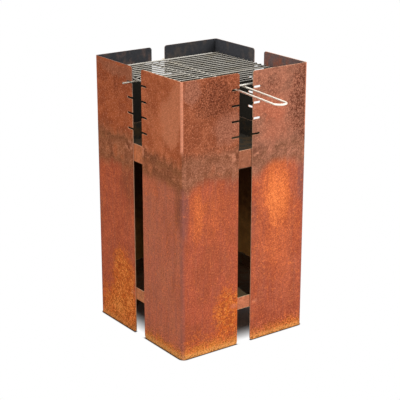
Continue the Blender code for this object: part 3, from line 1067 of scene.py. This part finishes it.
def add_grate():
    """Chromed grate: handle, support wires, frame, rods and the weld beads between them."""
    bright = chromed_wire("chrome_handle", 11.0, CHROME_BRIGHT, stain=0.15, polish=0.36, metal=0.8)
    rim = chromed_wire("chrome_frame", 15.0, CHROME_RIM, stain=0.30, polish=0.42, metal=0.6)
    dull = chromed_wire("chrome_slot_wires", 16.0, CHROME_DULL, stain=0.60, polish=0.46, metal=0.9)
    worn = chromed_wire(
        "chrome_rods", 12.0, CHROME_WORN, stain=0.40, polish=0.50, metal=1.0, sooted=ROD_SOOT_LINE
    )
    weld = weld_metal("grate_weld", 13.0)

    mesh = swept_wire("handle_wire", handle_path(), WIRE_RADIUS)
    handle = new_piece("handle_wire", mesh, "grate", bright)
    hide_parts("lifting_handle")
    left_y = BODY_CENTRE_Y + SUPPORT_Y
    right_y = BODY_CENTRE_Y - SUPPORT_Y
    left = ((-SUPPORT_REACH, left_y, SUPPORT_Z), (SUPPORT_LEFT_END, left_y, SUPPORT_Z))
    right = ((SUPPORT_RIGHT_START, right_y, SUPPORT_Z), (SUPPORT_REACH, right_y, SUPPORT_Z))
    for side, (start, end) in (("left", left), ("right", right)):
        name = "slot_wire_" + side
        path = straight(start, end, SUPPORT_STEPS)
        wire = new_piece(name, swept_wire(name, path, WIRE_RADIUS), "grate", dull)
        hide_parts("support_wire_" + side)
    mesh = swept_wire("frame_wire", frame_path(), WIRE_RADIUS, closed=True)
    square = new_piece("frame_wire", mesh, "grate", rim)
    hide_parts("grate_frame")

    # Rods that lie a hair askew and sag a little, with a weld nugget at either end
    chance = random.Random(ROD_SEED)
    pitch = 2 * FRAME_HALF / (ROD_COUNT + 1)
    beads = []
    for index in range(ROD_COUNT):
        y = BODY_CENTRE_Y - FRAME_HALF + (index + 1) * pitch
        skew = chance.uniform(-ROD_SKEW, ROD_SKEW)
        sag = chance.uniform(*ROD_SAG)
        path = []
        for step in range(ROD_STEPS + 1):
            share = step / ROD_STEPS * 2 - 1
            drop = sag * (1 - share * share)
            path.append((share * ROD_HALF_LENGTH, y + skew * share, ROD_Z - ROD_SETTLE - drop))
        name = "cooking_rod_{:02d}".format(index + 1)
        mesh = swept_wire(name, path, ROD_RADIUS, sides=ROD_SIDES)
        rod = new_piece(name, mesh, "grate", worn)
        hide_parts("grate_rod_{:02d}".format(index + 1))
        for end in (-1, 1):
            middle = (end * (FRAME_HALF - NUGGET_INSET), y + end * skew, ROD_Z - NUGGET_DROP)
            beads.append((middle, ROD_NUGGET, chance.uniform(-NUGGET_TURN, NUGGET_TURN)))

    # Nuggets where the legs and the support wires pass under the frame
    under = (FRAME_Z + SUPPORT_Z) / 2
    leg_front = -FRAME_HALF / math.cos(LEG_ANGLE)
    crossings = [askew(sign * LEG_OFFSET, end * leg_front) for sign in (-1, 1) for end in (-1, 1)]
    crossings += [(-FRAME_HALF, left_y), (FRAME_HALF, right_y)]
    for x, y in crossings:
        beads.append(((x, y, under), LEG_NUGGET, chance.uniform(-NUGGET_TURN, NUGGET_TURN)))
    mesh = beads_mesh("rod_welds", beads, NUGGET_SEED)
    new_piece("rod_welds", mesh, "grate", weld)


def seen_plainly(tree):
    """1 for rays from the camera and for mirrored ones, which see the white surroundings."""
    rays = tree.nodes.new("ShaderNodeLightPath")
    camera = Field(tree, rays.outputs["Is Camera Ray"])
    return higher_of(camera, Field(tree, rays.outputs["Is Glossy Ray"]))


def add_floor():
    """Plain white floor that keeps the shadow under the body, darkened there as a painted shadow,
    with painted light inside the front and the left gap and a painted contact shadow along its
    foot.
    """
    mesh = bpy.data.meshes.new("studio_floor")
    shape = bmesh.new()
    bmesh.ops.create_circle(shape, cap_ends=True, segments=64, radius=FLOOR_RADIUS)
    shape.to_mesh(mesh)
    shape.free()
    floor = bpy.data.objects.new("studio_floor", mesh)
    bpy.context.scene.collection.objects.link(floor)
    material = bpy.data.materials.new("studio_floor")
    material.use_nodes = True
    tree = material.node_tree
    output = tree.nodes["Material Output"]
    tree.nodes.remove(tree.nodes["Principled BSDF"])
    place = Field(tree, tree.nodes.new("ShaderNodeTexCoord").outputs["Object"])
    x, y = axes(place)[:2]
    wide, deep = abs(x), abs(y)
    along_side = lower_of(wide, deep)
    depth = inset(wide, deep)
    inward = lower_of(x, y) + BODY_HALF

    # Colour: white outside, a painted shadow under the body, a painted contact shadow under the
    # sheets' feet
    edge = lower_of(depth, inset(wide, deep, CONTACT_SHADOW_CORNER))
    beside_gap = rise(along_side, *BESIDE_GAP)
    # The stain here is a painted contact shadow along the sheets' feet, left out beside the gaps
    stain = rise(edge, *CONTACT_SHADOW_OUTER) * rise(edge, *CONTACT_SHADOW_INNER) * beside_gap
    shade = rise(inward, *SHADE_INWARD) * rise(depth, *SHADE_DEPTH)
    colour = blend(stain, blend(shade, FLOOR_WHITE, FLOOR_SHADE), FLOOR_CONTACT_SHADOW)
    ground = place.node("ShaderNodeBsdfDiffuse", {}, {"Color": colour})

    # Pure white to the camera outside the body, and painted light that fades in on the floor inside
    # the front and the left gap
    glow = place.node("ShaderNodeEmission", {}, {"Color": WHITE, "Strength": 1.0})
    outside = rise(edge, *WHITE_EDGE)
    doorway_light = rise(along_side - inward * DOORWAY_SLANT, *DOORWAY)
    fading = {"Value": inward, "From Min": DOORWAY_END, "From Max": DOORWAY_START}
    entering_light = place.node("ShaderNodeMapRange", {}, fading)
    share = seen_plainly(tree) * higher_of(outside, entering_light * entering_light * doorway_light) * (1 - stain)
    mixed = place.node("ShaderNodeMixShader", {}, {0: share, 1: ground, 2: glow})
    tree.links.new(mixed.socket, output.inputs["Surface"])
    mesh.materials.append(material)


def add_softbox(name, place, target, size, power):
    """Rectangular soft light aimed at a point."""
    light = bpy.data.lights.new(name, "AREA")
    light.shape = "RECTANGLE"
    light.size, light.size_y = size
    light.energy = power
    lamp = bpy.data.objects.new(name, light)
    bpy.context.scene.collection.objects.link(lamp)
    lamp.location = place
    aim = Vector(target) - Vector(place)
    lamp.rotation_euler = aim.to_track_quat("-Z", "Y").to_euler()


def add_studio():
    """White surroundings and soft lights, brighter on the handle side."""
    world = bpy.data.worlds.new("studio")
    bpy.context.scene.world = world
    world.use_nodes = True
    tree = world.node_tree
    background = tree.nodes["Background"]
    strength = WORLD_LIGHT + (1 - WORLD_LIGHT) * seen_plainly(tree)
    tree.links.new(strength.socket, background.inputs["Strength"])
    background.inputs["Color"].default_value = WHITE
    for name, place, size, power in SOFTBOXES:
        add_softbox(name, place, LIGHT_AIM, size, power)


def add_camera():
    """Camera at the front left corner, a little above the grate."""
    lens = bpy.data.cameras.new("view_camera")
    lens.lens = CAMERA_LENS
    lens.sensor_width = CAMERA_FILM
    camera = bpy.data.objects.new("view_camera", lens)
    bpy.context.scene.collection.objects.link(camera)
    camera.location = CAMERA_PLACE
    camera.rotation_mode = "QUATERNION"
    camera.rotation_quaternion = Vector(CAMERA_DIRECTION).to_track_quat("-Z", "Y")
    bpy.context.scene.camera = camera


dress_sheets()
dress_trays()
add_grate()
add_floor()
add_studio()
add_camera()
bpy.context.scene.view_settings.view_transform = "Standard"

bpy.context.view_layer.update()
